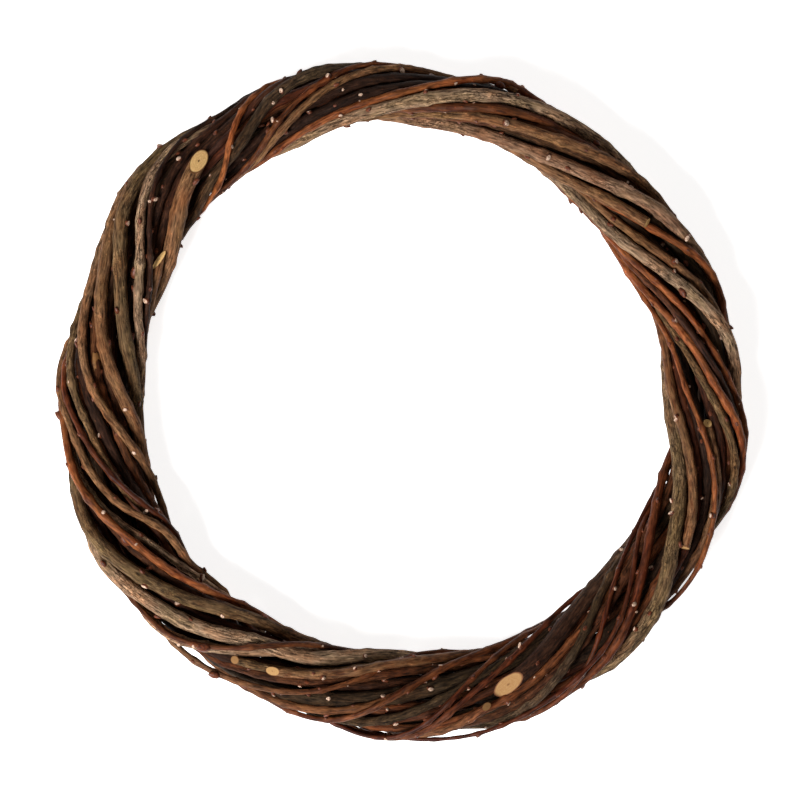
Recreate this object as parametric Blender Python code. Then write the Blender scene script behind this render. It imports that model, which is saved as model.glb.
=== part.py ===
# Wreath of willow rods wound round one another like a rope that is bent into a ring.
# Metres, +Z up. The wreath lies flat, its face looks up. Angles run clockwise from the top of the ring.
import math
import bpy
import bmesh
import numpy as np

for old in list(bpy.data.objects):
    bpy.data.objects.remove(old)

MM = 0.001

# Main sizes, in millimetres and degrees
STATION_DEG = 8.0
THICK_SIDES = 6
THIN_SIDES = 5
THIN_BELOW = 4.2
CLEARANCE = 0.12
LAYER_DEPTH = 3.6
HEIGHT_RATIO = 0.86
UNDERSIDE = -16.5
TOPSIDE = 21.5
BACK_TURN_DEG = 62.0
FILL_TURN_DEG = 59.0
OUTER_EASE = 0.8

# How the rods are laid against one another: rounds, and the share of each wanted move that one round takes
LAYING_ROUNDS = 260
CLOSING_ROUNDS = 600
CLOSE_ENOUGH = 0.02
PAIRS_RENEWED_EVERY = 20
PAIR_REACH = 34.0
OWN_STATIONS_SPARED = 3
PULL_BACK = 0.10
PULL_BACK_UPRIGHT = 0.4
STRAIGHTEN = 0.35
PUSHES_A_ROUND = 3
SIDEWAYS_WHILE_LAID = 0.35
SIDEWAYS_WHILE_CLOSED = 0.6
MOVE_TAKEN = 0.9
SMALLEST_LEVER = 0.12

# Outline of the ring by clock angle: inner and outer radius in millimetres, read off the photograph
RING_OUTLINE = [
    (0, 135.9, 167.0),
    (7, 135.9, 164.2),
    (20, 135.0, 166.5),
    (33, 132.9, 163.6),
    (45, 130.5, 165.0),
    (57, 127.9, 165.2),
    (68, 130.4, 169.0),
    (77, 133.5, 171.0),
    (87, 131.3, 169.2),
    (98, 132.5, 176.2),
    (107, 135.9, 175.4),
    (118, 133.9, 173.0),
    (127, 133.0, 170.6),
    (140, 131.8, 172.8),
    (150, 132.8, 172.0),
    (157, 133.9, 174.2),
    (170, 128.9, 173.6),
    (183, 125.4, 172.4),
    (197, 129.0, 168.0),
    (204, 130.5, 168.6),
    (210, 126.6, 168.8),
    (220, 128.5, 171.0),
    (231, 132.9, 168.8),
    (242, 127.8, 174.2),
    (252, 130.0, 173.0),
    (263, 128.4, 170.2),
    (275, 128.9, 174.8),
    (287, 131.4, 168.4),
    (297, 130.4, 169.8),
    (307, 133.5, 176.0),
    (315, 137.0, 175.0),
    (328, 134.4, 168.6),
    (338, 136.2, 172.2),
    (348, 137.6, 168.0),
    (354, 136.4, 170.0),
]

# Each rod is listed clockwise: name, start, passes over the front, end.
# Start and end are (angle, diameter, kind of end). A "top" start shows on the face, and adds its radius in
# the ring and the slant of its cut. A "cut" end shows too, and adds the angle where the rod comes over the
# inner edge, its radius in the ring, its depth layer, the slant of its cut and, if the cut looks to one side,
# its turn round the rod. Tips and butts are hidden.
# A pass is (angle at the inner edge, angle at the middle, angle at the outer edge, diameter, depth layer).
# From one pass to the next the rod goes back under the ring. A rod that starts on the face has no inner
# edge or middle in its first pass.
RODS = [
    ("rod_01", (-140, 3.0, "tip"), [(-108, -91, -60, 4.3, 0), (-20, 14, 42, 6.6, 0), (84, 118.5, 140, 7.3, 0),
                                    (182, 218, 243, 7.3, 0)], (321.5, 8.0, "cut", 299, 156.5, 0, 58)),
    ("rod_02", (-215, 2.6, "tip"), [(-195, -178, -154, 3.6, 1), (-102, -79.5, -52, 6.3, 0),
                                    (15, 45, 67, 6.5, 0)], (162.5, 8.4, "cut", 130, 155.5, 0, 64)),
    ("rod_03", (-50, 2.2, "tip"), [(-25, 7.5, 33, 2.9, 1), (55, 81.5, 98, 3.3, 0), (148, 172, 193, 4.2, 1),
                                   (268, 291, 316, 6.9, 0)], (346, 7.2, "butt")),
    ("rod_04", (0, 2.4, "tip"), [(30, 53.5, 71, 3.3, 1), (108, 128.8, 155, 4.6, 0),
                                 (205, 230.8, 254, 6.9, 0)], (286, 7.2, "butt")),
    ("rod_05", (-240, 2.2, "tip"), [(-218, -193, -176, 2.8, 0), (-128, -109.5, -86, 3.8, 0),
                                    (-48, -29, -8, 5.5, 0), (44, 68.5, 87, 6.0, 0)], (118, 6.4, "butt")),
    ("rod_06", (-215, 2.2, "tip"), [(-188, -166.5, -138, 2.6, 0),
                                    (-83, -59, -38, 4.7, 1)], (55, 5.6, "cut", 28, 149.5, 0, 12)),
    ("rod_07", (-60, 2.4, "tip"), [(-38, -17, 5, 3.5, 0), (38, 62, 80, 4.0, 1), (125, 144.5, 165, 4.1, 1),
                                   (196, 212.5, 230, 5.0, 1)], (301.5, 5.2, "cut", 284, 140.5, 0, 62, 55)),
    ("rod_08", (-150, 2.2, "tip"), [(-124, -105, -85, 2.8, 1),
                                    (-32, 2, 20, 3.5, 0)], (118.5, 5.0, "cut", 80, 160.0, 0, 20)),
    ("rod_09", (-70, 2.0, "tip"), [(-44, -33.5, -25, 2.7, 0),
                                   (68, 87, 108, 3.8, 1)], (213, 4.2, "cut", 172, 156.5, 1, 45)),
    ("rod_10", (-80, 2.2, "tip"), [(-60, -38, -12, 3.2, 1),
                                   (60, 84, 104, 3.9, 0)], (206.5, 4.6, "cut", 165, 151.5, 0, 58)),
    ("rod_11", (-150, 2.4, "tip"), [(-126, -103, -70, 3.7, 1), (-11, 28.5, 57, 5.2, 1)], (96, 5.6, "butt")),
    ("rod_12", (95, 1.8, "tip"), [(118, 139, 156, 2.2, 0), (210, 242, 265, 3.8, 0)], (302, 4.4, "butt")),
    ("rod_13", (94.2, 4.4, "top", 152.0, 45), [(None, None, 124, 4.3, 1), (196, 213, 233, 2.6, 0),
                                              (282, 306, 330, 2.4, 0)], (352, 2.0, "tip")),
    ("rod_14", (164, 3.8, "top", 158.0, 45), [(None, None, 177, 3.6, 0), (226, 244.5, 264, 3.4, 1)],
     (302, 2.2, "tip")),
    ("rod_15", (2, 3.8, "butt"), [(44, 77.5, 98, 3.2, 0), (158, 182, 198, 3.0, 0)], (234, 2.0, "tip")),
    ("rod_16", (-62, 2.6, "butt"), [(-39, -21.5, 1, 2.6, 0), (65, 99.5, 125, 2.5, 0),
                                    (153, 170, 186, 2.4, 0)], (216, 1.8, "tip")),
    ("rod_17", (74, 2.8, "butt"), [(116, 133, 176, 2.2, 0)], (210, 1.7, "tip")),
    ("rod_18", (240, 5.0, "butt"), [(276, 310.5, 335, 3.9, 1)], (370, 2.2, "tip")),
]

# Rods in the depth of the rope, laid by rule: (name, first angle, last angle, diameter at the thin and
# thick end, angle where it first comes over the inner edge, depth layer)
DEEP_RODS = [
    ("rod_19", 46, 421, 5.1, 7.6, 86, 3.2),
    ("rod_20", 115, 472, 4.9, 7.4, 137, 2.8),
    ("rod_21", 237, 612, 5.1, 7.8, 277, 2.2),
    ("rod_22", 262, 619, 4.9, 7.2, 284, 2.8),
    ("rod_23", 56, 513, 3.5, 5.4, 78, 1.4),
    ("rod_24", 98, 561, 3.5, 5.6, 244, 1.6),
    ("rod_25", 258, 624, 3.5, 5.4, 298, 1.6),
    ("rod_26", 335, 692, 3.5, 5.6, 357, 1.3),
    ("rod_27", 107, 468, 3.5, 5.4, 133, 2.2),
    ("rod_28", 63, 426, 3.3, 5.4, 209, 1.2),
    ("rod_29", 191, 444, 3.1, 4.8, 231, 1.5),
    ("rod_30", 18, 388, 3.3, 5.6, 53, 1.8),
]

# Bark of the rods: colour and roughness, and which rods have the grey and the orange one
BARKS = {
    "grey_bark": ((0.090, 0.064, 0.038, 1.0), 0.85),
    "brown_bark": ((0.072, 0.033, 0.015, 1.0), 0.7),
    "orange_bark": ((0.150, 0.042, 0.013, 1.0), 0.5),
}
GREY_RODS = (1, 3, 5, 9, 11, 14, 19, 21, 24, 26, 30)
ORANGE_RODS = (8, 10, 12, 13, 15, 16, 17, 29)

# Buds and cut side stubs seen on the face: (angle, radius in the ring, size), size 2 for the large ones
FACE_BUDS = [
    (3.3, 150.4, 1), (16.0, 146.4, 2), (17.2, 162.5, 2), (20.5, 144.9, 1), (31.5, 138.4, 1),
    (60.0, 161.5, 1), (63.5, 150.9, 1), (68.7, 148.4, 2), (74.0, 140.9, 1), (78.8, 162.0, 1),
    (88.5, 144.9, 1), (93.3, 135.9, 1), (108.6, 157.7, 1), (112.5, 147.4, 1), (124.0, 152.7, 2),
    (131.0, 155.4, 1), (134.0, 165.0, 1), (144.2, 156.4, 1), (154.0, 137.9, 1), (161.5, 161.5, 1),
    (162.0, 144.4, 1), (167.0, 148.4, 1), (173.5, 146.4, 1), (180.0, 163.0, 1), (182.3, 156.4, 1),
    (189.2, 135.7, 2), (193.0, 154.4, 1), (195.0, 144.9, 1), (199.0, 152.9, 1), (203.5, 162.5, 2),
    (213.7, 167.5, 1), (218.0, 157.4, 1), (226.5, 150.9, 1), (228.4, 134.4, 1), (233.6, 157.4, 1),
    (241.8, 154.4, 2), (248.0, 157.4, 1), (254.0, 135.4, 1), (262.5, 150.9, 1), (290.5, 135.4, 1),
    (294.9, 146.7, 2), (298.4, 163.5, 1), (308.3, 156.4, 1), (315.5, 173.5, 1), (316.7, 161.0, 1),
    (335.0, 151.9, 1), (338.0, 163.5, 1), (342.0, 148.9, 1), (346.6, 163.7, 1), (347.7, 142.4, 1),
    (353.0, 152.7, 1), (359.4, 162.5, 1),
]
BUD_LENGTH = 4.2
BUD_HEIGHT = 1.5
BUD_CLEAR = 0.25
BUD_LEAN = 1.2
BUD_APART = 0.06
BUD_SPAN = (0.16, 0.84)
BUD_SEARCH = 0.8
STEEPEST_BUD = 0.9
SMALL_BUD_SHARE = 0.7
SPARE_BUD_STATIONS = 17
SPARE_BUD_SPAN = (0.25, 0.75)
SPARE_BUD_TRIES = 6
LEAF_TURN_DEG = 137.5
BUD_SEED = 7
END_RISE = 0.3
GROUND_SNAP = 0.25
EDGE_SHARP_DEG = 64.0


def deep_rod(name, first, last, thin, thick, over, layer):
    """A deep rod as the same kind of list as the rods read off the photograph."""
    passes = []
    inner = over
    while inner + FILL_TURN_DEG < last:
        share = (inner + FILL_TURN_DEG / 2 - first) / (last - first)
        passes.append((inner, inner + FILL_TURN_DEG / 2, inner + FILL_TURN_DEG, thin + (thick - thin) * share,
                       layer))
        inner += 2 * FILL_TURN_DEG
    return (name, (first, thin, "tip"), passes, (last, thick, "butt"))


def outline_at(angle):
    """Middle radius and half width of the rope at a clock angle."""
    first = RING_OUTLINE[0]
    table = RING_OUTLINE + [(360, first[1], first[2])]
    a = np.asarray(angle, float) % 360.0
    keys = [row[0] for row in table]
    inner = np.interp(a, keys, [row[1] for row in table])
    outer = np.interp(a, keys, [row[2] for row in table]) + OUTER_EASE
    return (outer + inner) / 2, (outer - inner) / 2


def sides_of(radius):
    return THIN_SIDES if 2 * radius < THIN_BELOW else THICK_SIDES


def smooth_keys(x, keys, values):
    """Rounded interpolation through the key points that never overshoots them."""
    keys = np.asarray(keys, float)
    values = np.asarray(values, float)
    step = np.diff(keys)
    slope = np.diff(values) / step
    tangent = np.zeros(len(keys))
    tangent[0] = slope[0]
    tangent[-1] = slope[-1]
    for i in range(1, len(keys) - 1):
        if slope[i - 1] * slope[i] > 0:
            w1 = 2 * step[i] + step[i - 1]
            w2 = step[i] + 2 * step[i - 1]
            tangent[i] = (w1 + w2) / (w1 / slope[i - 1] + w2 / slope[i])
    i = np.clip(np.searchsorted(keys, x) - 1, 0, len(keys) - 2)
    t = np.clip((x - keys[i]) / step[i], 0.0, 1.0)
    h00 = (1 + 2 * t) * (1 - t) ** 2
    h10 = t * (1 - t) ** 2
    h01 = t * t * (3 - 2 * t)
    h11 = t * t * (t - 1)
    return h00 * values[i] + h10 * step[i] * tangent[i] + h01 * values[i + 1] + h11 * step[i] * tangent[i + 1]


def cut_of(end):
    """Slant of a cut from square, and how far it is turned round the rod from the top, both in degrees."""
    if end[2] == "cut":
        return end[6], end[7] if len(end) > 7 else 0.0
    return (end[4] if end[2] == "top" else 0.0), 0.0


def roll_at_radius(angle, radius, rod_radius):
    """Roll angle round the rope's middle at which a rod on its face shows at this radius."""
    middle, half = outline_at(angle)
    reach = half - rod_radius
    return math.degrees(math.acos(max(-1.0, min(1.0, (radius - middle) / reach))))


def rod_route(start, passes, end):
    """Stations along one rod: clock angle, roll angle round the rope, radius and depth layer."""
    turn_keys = []
    size_keys = [(start[0], start[1])]
    layer_keys = []
    turns = 0
    if start[2] == "top":
        roll = roll_at_radius(start[0], start[3], start[1] / 2)
        turn_keys.append((start[0], roll))
    else:
        first = passes[0][0]
        turn_keys.append((start[0], 180 + (first - start[0]) / BACK_TURN_DEG * 180))
    for index, (inner, middle, outer, diameter, layer) in enumerate(passes):
        base = -360 * turns
        if inner is None:
            inner = start[0]
        else:
            turn_keys.append((inner, base + 180))
            turn_keys.append((middle, base + 90))
        turn_keys.append((outer, base))
        size_keys.append(((inner + outer) / 2, diameter))
        layer_keys.append(((inner + outer) / 2, layer))
        turns += 1
    base = -360 * turns
    if end[2] == "cut":
        turn_keys.append((end[3], base + 180))
        turn_keys.append((end[0], base + roll_at_radius(end[0], end[4], end[1] / 2)))
        layer_keys.append(((end[0] + end[3]) / 2, end[5]))
    else:
        last = passes[-1][2]
        turn_keys.append((end[0], base + 360 - (end[0] - last) / BACK_TURN_DEG * 180))
    size_keys.append((end[0], end[1]))
    count = max(4, int(round((end[0] - start[0]) / STATION_DEG)) + 1)
    angles = np.linspace(start[0], end[0], count)
    rolls = smooth_keys(angles, [k[0] for k in turn_keys], [k[1] for k in turn_keys])
    radii = 0.5 * np.interp(angles, [k[0] for k in size_keys], [k[1] for k in size_keys])
    layers = np.interp(angles, [k[0] for k in layer_keys], [k[1] for k in layer_keys])
    return angles, rolls, radii, layers


def closest_points(p, p2, q, q2):
    """Closest places s and t on many pairs of segments at once."""
    d1 = p2 - p
    d2 = q2 - q
    r = p - q
    a = np.einsum("ij,ij->i", d1, d1)
    e = np.einsum("ij,ij->i", d2, d2)
    f = np.einsum("ij,ij->i", d2, r)
    c = np.einsum("ij,ij->i", d1, r)
    b = np.einsum("ij,ij->i", d1, d2)
    det = a * e - b * b
    s = np.clip(np.where(det > 1e-9, (b * f - c * e) / np.maximum(det, 1e-9), 0.5), 0, 1)
    t = np.clip((b * s + f) / e, 0, 1)
    s = np.clip((b * t - c) / a, 0, 1)
    t = np.clip((b * s + f) / e, 0, 1)
    return s, t


class Bundle:
    """All rods as one set of points, pushed apart until no two rods cross."""

    def __init__(self, rods):
        self.names = [rod[0] for rod in rods]
        self.cuts = [(cut_of(rod[1]), cut_of(rod[3])) for rod in rods]
        self.angle = []
        self.radius = []
        self.rod = []
        target = []
        for number, (name, start, passes, end) in enumerate(rods):
            angles, rolls, radii, layers = rod_route(start, passes, end)
            middle, half = outline_at(angles)
            across = half - radii - LAYER_DEPTH * layers
            height = HEIGHT_RATIO * half - radii - LAYER_DEPTH * layers
            out = middle + across * np.cos(np.radians(rolls))
            up = height * np.sin(np.radians(rolls))
            turn = np.radians(angles)
            target.append(np.stack([out * np.sin(turn), out * np.cos(turn), up], axis=1))
            self.angle.append(angles)
            self.radius.append(radii)
            self.rod.append(np.full(len(angles), number))
        self.angle = np.concatenate(self.angle)
        self.radius = np.concatenate(self.radius)
        self.rod = np.concatenate(self.rod)
        self.first = [int(np.argmax(self.rod == number)) for number in range(len(rods))]
        self.target = np.concatenate(target)
        self.place = self.target.copy()
        turn = np.radians(self.angle)
        self.outward = np.stack([np.sin(turn), np.cos(turn), np.zeros(len(turn))], axis=1)
        self.seg = np.nonzero(self.rod[:-1] == self.rod[1:])[0]
        inner = self.rod[1:-1] == self.rod[:-2]
        inner &= self.rod[1:-1] == self.rod[2:]
        self.inner = np.nonzero(inner)[0] + 1

    def near_pairs(self):
        middle = 0.5 * (self.place[self.seg] + self.place[self.seg + 1])
        a, b = np.triu_indices(len(self.seg), 1)
        far = np.linalg.norm(middle[a] - middle[b], axis=1) < PAIR_REACH
        same = self.rod[self.seg[a]] == self.rod[self.seg[b]]
        keep = far & ~(same & (np.abs(self.seg[a] - self.seg[b]) < OWN_STATIONS_SPARED))
        return self.seg[a[keep]], self.seg[b[keep]]

    def gaps(self, i, j):
        s, t = closest_points(self.place[i], self.place[i + 1], self.place[j], self.place[j + 1])
        p = self.place[i] * (1 - s)[:, None] + self.place[i + 1] * s[:, None]
        q = self.place[j] * (1 - t)[:, None] + self.place[j + 1] * t[:, None]
        size = self.radius[i] * (1 - s) + self.radius[i + 1] * s
        size += self.radius[j] * (1 - t) + self.radius[j + 1] * t
        apart = p - q
        distance = np.linalg.norm(apart, axis=1)
        return s, t, apart / np.maximum(distance, 1e-6)[:, None], distance - size

    def push(self, i, j, give_sideways):
        s, t, way, gap = self.gaps(i, j)
        hit = gap < CLEARANCE
        i, j, s, t, way = i[hit], j[hit], s[hit], t[hit], way[hit]
        short = CLEARANCE - gap[hit]
        out_i = self.outward[i]
        along = np.einsum("ij,ij->i", way, out_i)
        move = out_i * (along * give_sideways)[:, None]
        move[:, 2] += way[:, 2]
        work = np.maximum(np.einsum("ij,ij->i", move, way), SMALLEST_LEVER)
        move = move * (0.5 * short / work)[:, None]
        total = np.zeros_like(self.place)
        count = np.full(len(self.place), 1e-9)
        for index, weight, sign in ((i, 1 - s, 1), (i + 1, s, 1), (j, 1 - t, -1), (j + 1, t, -1)):
            other = 1 - weight
            scale = weight / (weight ** 2 + other ** 2)
            np.add.at(total, index, sign * move * scale[:, None])
            np.add.at(count, index, weight)
        self.place += MOVE_TAKEN * total / np.maximum(count, 1.0)[:, None]
        return float(short.max()) if len(short) else 0.0

    def keep_inside(self):
        """Hold every rod inside the rope's outline and above the surface it lies on."""
        middle, half = outline_at(self.angle)
        out = np.einsum("ij,ij->i", self.place, self.outward)
        held = np.clip(out, middle - half + self.radius, middle + half - self.radius)
        self.place += self.outward * (held - out)[:, None]
        floor = UNDERSIDE + self.radius * math.cos(math.pi / THICK_SIDES)
        self.place[:, 2] = np.clip(self.place[:, 2], floor, TOPSIDE - self.radius)

    def settle(self):
        """Lay the rods as near their wanted routes as the others allow, then close every crossing."""
        for step in range(LAYING_ROUNDS):
            if step % PAIRS_RENEWED_EVERY == 0:
                i, j = self.near_pairs()
            ease = 1.0 - step / LAYING_ROUNDS
            pull = (self.target - self.place) * (PULL_BACK * ease)
            pull[:, 2] *= PULL_BACK_UPRIGHT
            self.place += pull
            k = self.inner
            bend = 0.5 * (self.place[k - 1] + self.place[k + 1]) - self.place[k]
            want = 0.5 * (self.target[k - 1] + self.target[k + 1]) - self.target[k]
            self.place[k] += STRAIGHTEN * ease * (bend - want)
            for repeat in range(PUSHES_A_ROUND):
                worst = self.push(i, j, SIDEWAYS_WHILE_LAID)
                self.keep_inside()
        i, j = self.near_pairs()
        for step in range(CLOSING_ROUNDS):
            worst = self.push(i, j, SIDEWAYS_WHILE_CLOSED)
            self.keep_inside()
            if worst < CLOSE_ENOUGH:
                break
        print("rods settled after", step, "closing rounds, worst crossing", round(worst, 3), "mm")


def frame_of(points):
    """Direction, side and up for every station, with up kept as near to +Z as the rod allows."""
    tangent = np.gradient(points, axis=0)
    tangent /= np.linalg.norm(tangent, axis=1)[:, None]
    side = np.cross(tangent, np.array([0.0, 0.0, 1.0]))
    side /= np.linalg.norm(side, axis=1)[:, None]
    up = np.cross(side, tangent)
    return tangent, side, up


def rod_rings(points, radii, sides, cuts):
    """Corner points of one rod, ring by ring, with a flat side turned to the ground."""
    tangent, side, up = frame_of(points)
    corner = np.radians(-90 + 180 / sides + np.arange(sides) * 360.0 / sides)
    spoke = np.cos(corner)[None, :, None] * side[:, None, :] + np.sin(corner)[None, :, None] * up[:, None, :]
    rings = points[:, None, :] + radii[:, None, None] * spoke
    for end, (slant, turn), inward in ((0, cuts[0], 1), (-1, cuts[1], -1)):
        back = (np.sin(corner - math.radians(turn)) + 1) * radii[end] * math.tan(math.radians(slant))
        rings[end] += inward * tangent[end] * back[:, None]
    return rings, tangent


def rod_mesh(name, rings, tangent, buds):
    """One rod as a closed tube with flat sides, low points on its ends and raised buds."""
    sides = rings.shape[1]
    stops = [(float(k), None) for k in range(len(rings))]
    for bud in buds:
        stops.append((bud["at"] - bud["half"], None))
        stops.append((bud["at"] + bud["half"], bud))
    stops.sort(key=lambda stop: stop[0])
    mesh = bmesh.new()
    verts = []
    places = []
    for where, bud in stops:
        k = min(int(where), len(rings) - 2)
        w = where - k
        ring = rings[k] * (1 - w) + rings[k + 1] * w
        places.append(ring)
        verts.append([mesh.verts.new(v * MM) for v in ring])
    for n in range(len(verts) - 1):
        bud = stops[n + 1][1]
        for c in range(sides):
            d = (c + 1) % sides
            quad = (verts[n][c], verts[n][d], verts[n + 1][d], verts[n + 1][c])
            if bud is not None and bud["side"] == c:
                top = mesh.verts.new(bud["tip"] * MM)
                for e in range(4):
                    mesh.faces.new((quad[e], quad[(e + 1) % 4], top))
            else:
                mesh.faces.new(quad)
    for corners, ring, way in ((verts[0], places[0], -tangent[0]), (verts[-1], places[-1], tangent[-1])):
        tip = mesh.verts.new((ring.mean(axis=0) + way * END_RISE) * MM)
        for c in range(sides):
            mesh.faces.new((corners[c], corners[(c + 1) % sides], tip))
    bmesh.ops.recalc_face_normals(mesh, faces=mesh.faces)
    bmesh.ops.triangulate(mesh, faces=mesh.faces)
    data = bpy.data.meshes.new(name)
    mesh.to_mesh(data)
    mesh.free()
    obj = bpy.data.objects.new(name, data)
    bpy.context.scene.collection.objects.link(obj)
    return obj


def bark_material(name):
    """Plain bark material of one colour family."""
    colour, roughness = BARKS[name]
    material = bpy.data.materials.new(name)
    material.use_nodes = True
    shader = material.node_tree.nodes["Principled BSDF"]
    shader.inputs["Base Color"].default_value = colour
    shader.inputs["Roughness"].default_value = roughness
    shader.inputs["Metallic"].default_value = 0.0
    return material


def clear_of_others(point, number):
    """Free distance from a point to every other rod's skin."""
    first = bundle.seg[bundle.rod[bundle.seg] != number]
    a = bundle.place[first]
    d = bundle.place[first + 1] - a
    t = np.clip(np.einsum("ij,ij->i", point - a, d) / np.einsum("ij,ij->i", d, d), 0, 1)
    gap = np.linalg.norm(a + d * t[:, None] - point, axis=1)
    return float((gap - bundle.radius[first] * (1 - t) - bundle.radius[first + 1] * t).min())


def make_bud(number, index, share, toward, size):
    """A bud on one flat side of a rod, raised to a point that leans along the rod. None if it has no room."""
    rings = all_rings[number]
    where = index + share
    ring = rings[index] * (1 - share) + rings[index + 1] * share
    axis = rings[index + 1].mean(axis=0) - rings[index].mean(axis=0)
    length = np.linalg.norm(axis)
    half = BUD_LENGTH / 2 / length
    if any(abs(where - other["at"]) < half + other["half"] + BUD_APART for other in all_buds[number]):
        return None
    centre = ring.mean(axis=0)
    sides = len(ring)
    flats = [0.5 * (ring[c] + ring[(c + 1) % sides]) for c in range(sides)]
    ways = [(flat - centre) / np.linalg.norm(flat - centre) for flat in flats]
    side = int(np.argmax([np.dot(way, toward) for way in ways]))
    height = BUD_HEIGHT * (SMALL_BUD_SHARE + (1 - SMALL_BUD_SHARE) * size)
    tip = flats[side] + ways[side] * height + axis / length * BUD_LEAN
    lower = tip + np.array([0.0, 0.0, UNDERSIDE])
    middle = 0.5 * (tip + flats[side]) + np.array([0.0, 0.0, UNDERSIDE])
    if min(clear_of_others(lower, number), clear_of_others(middle, number)) < BUD_CLEAR or tip[2] < END_RISE:
        return None
    return {"at": where, "half": half, "side": side, "tip": tip}


def place_face_buds():
    """Put each bud read off the photograph on the topmost rod that shows there."""
    missed = 0
    for angle, radius, size in FACE_BUDS:
        best = None
        for i in bundle.seg:
            turn = (angle - bundle.angle[i] + 180) % 360 - 180
            share = turn / (bundle.angle[i + 1] - bundle.angle[i])
            if not 0 <= share < 1:
                continue
            spot = bundle.place[i] * (1 - share) + bundle.place[i + 1] * share
            off = radius - math.hypot(spot[0], spot[1])
            if abs(off) > bundle.radius[i] * STEEPEST_BUD + BUD_SEARCH:
                continue
            if best is None or spot[2] > best[0]:
                best = (spot[2], i, share, off)
        if best is None:
            missed += 1
            continue
        i = best[1]
        number = int(bundle.rod[i])
        index = i - bundle.first[number]
        share = min(max(best[2], BUD_SPAN[0]), BUD_SPAN[1])
        lean = best[3] / bundle.radius[i]
        lean = max(-STEEPEST_BUD, min(STEEPEST_BUD, lean))
        toward = bundle.outward[i] * lean + np.array([0.0, 0.0, math.sqrt(1 - lean * lean)])
        bud = make_bud(number, index, share, toward, size)
        if bud is None:
            missed += 1
        else:
            all_buds[number].append(bud)
    return missed


def place_spare_buds():
    """Buds on the sides and underside too, spaced along each rod and turned by the leaf spiral."""
    draw = np.random.default_rng(BUD_SEED)
    for number in range(len(bundle.names)):
        turn = draw.uniform(0, 360)
        for index in range(4, len(all_rings[number]) - 3, SPARE_BUD_STATIONS):
            for attempt in range(SPARE_BUD_TRIES):
                turn += LEAF_TURN_DEG
                out = bundle.outward[bundle.first[number] + index] * math.cos(math.radians(turn))
                toward = out + np.array([0.0, 0.0, math.sin(math.radians(turn))])
                bud = make_bud(number, index, draw.uniform(*SPARE_BUD_SPAN), toward, 1)
                if bud is not None:
                    all_buds[number].append(bud)
                    break


bundle = Bundle(RODS + [deep_rod(*row) for row in DEEP_RODS])
bundle.settle()

all_rings = []
all_tangents = []
all_buds = [[] for name in bundle.names]
for number, name in enumerate(bundle.names):
    own = bundle.rod == number
    radii = bundle.radius[own]
    rings, tangent = rod_rings(bundle.place[own], radii, sides_of(radii.mean()), bundle.cuts[number])
    rings[:, :, 2] -= UNDERSIDE
    rings[:, :, 2] = np.where(rings[:, :, 2] < GROUND_SNAP, 0.0, rings[:, :, 2])
    all_rings.append(rings)
    all_tangents.append(tangent)

missed = place_face_buds()
place_spare_buds()

# The middle of the bounding box comes to the origin, the lowest flats stay on the ground
corners = np.concatenate([rings.reshape(-1, 3) for rings in all_rings])
middle = 0.5 * (corners.min(axis=0) + corners.max(axis=0))
middle[2] = 0.0
barks = {name: bark_material(name) for name in BARKS}
triangles = 0
for number, name in enumerate(bundle.names):
    for bud in all_buds[number]:
        bud["tip"] = bud["tip"] - middle
    rod = rod_mesh(name, all_rings[number] - middle, all_tangents[number], all_buds[number])
    bark = "brown_bark"
    if number + 1 in GREY_RODS:
        bark = "grey_bark"
    elif number + 1 in ORANGE_RODS:
        bark = "orange_bark"
    rod.data.materials.append(barks[bark])
    rod.data.shade_smooth()
    rod.data.set_sharp_from_angle(angle=math.radians(EDGE_SHARP_DEG))
    triangles += len(rod.data.polygons)
print("rods", len(bundle.names), "buds", sum(len(b) for b in all_buds), "no room for", missed)
print("triangles", triangles, "size", np.round(corners.max(axis=0) - corners.min(axis=0), 2), "mm")
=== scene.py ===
# %% [markdown]
# # A wreath of wound willow rods
#
# The real object is a bundle of long willow twigs, wound round one another like the strands of a rope and
# bent into a ring. This lesson dresses the plain solids of those rods: every rod gets round, fissured or
# satin bark, buds, side stubs and pale slanting cuts, and each keeps the route that its solid has.

import math

import bpy
import numpy as np
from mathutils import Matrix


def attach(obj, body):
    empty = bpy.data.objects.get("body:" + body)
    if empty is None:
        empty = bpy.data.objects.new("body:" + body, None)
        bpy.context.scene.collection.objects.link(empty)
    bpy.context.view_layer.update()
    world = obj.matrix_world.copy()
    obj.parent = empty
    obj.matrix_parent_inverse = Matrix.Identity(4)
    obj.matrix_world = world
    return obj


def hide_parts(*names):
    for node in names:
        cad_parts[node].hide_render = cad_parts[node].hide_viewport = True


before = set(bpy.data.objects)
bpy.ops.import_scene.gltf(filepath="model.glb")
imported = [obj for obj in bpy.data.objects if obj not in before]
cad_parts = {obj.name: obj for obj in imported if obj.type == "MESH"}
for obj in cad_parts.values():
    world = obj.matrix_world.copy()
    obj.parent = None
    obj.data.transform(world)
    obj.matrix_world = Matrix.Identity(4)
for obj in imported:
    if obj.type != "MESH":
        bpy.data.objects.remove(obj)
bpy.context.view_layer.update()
ROD_NAMES = sorted(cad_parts)
print("rods in the frame:", len(ROD_NAMES))

MM = 0.001


def linked(name, data):
    """A new object in the scene."""
    made = bpy.data.objects.new(name, data)
    bpy.context.scene.collection.objects.link(made)
    return made


# %% [markdown]
# ## The camera
#
# The photograph looks straight down on the wreath. A long lens held well above it hides the inner and outer
# walls of the ring, as in the picture.

# %% Camera straight above the ring
PHOTO_WIDTH = 0.4011
LENS = 135.0
SENSOR = 36.0
FACE_HEIGHT = 0.020
LOOK_AT = (-0.00137, 0.00096)

camera_data = bpy.data.cameras.new("camera")
camera_data.lens = LENS
camera_data.sensor_width = SENSOR
camera = linked("camera", camera_data)
camera.location = (*LOOK_AT, FACE_HEIGHT + PHOTO_WIDTH * LENS / SENSOR)
bpy.context.scene.camera = camera
print("camera height", round(camera.location.z, 3), "m")

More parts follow.
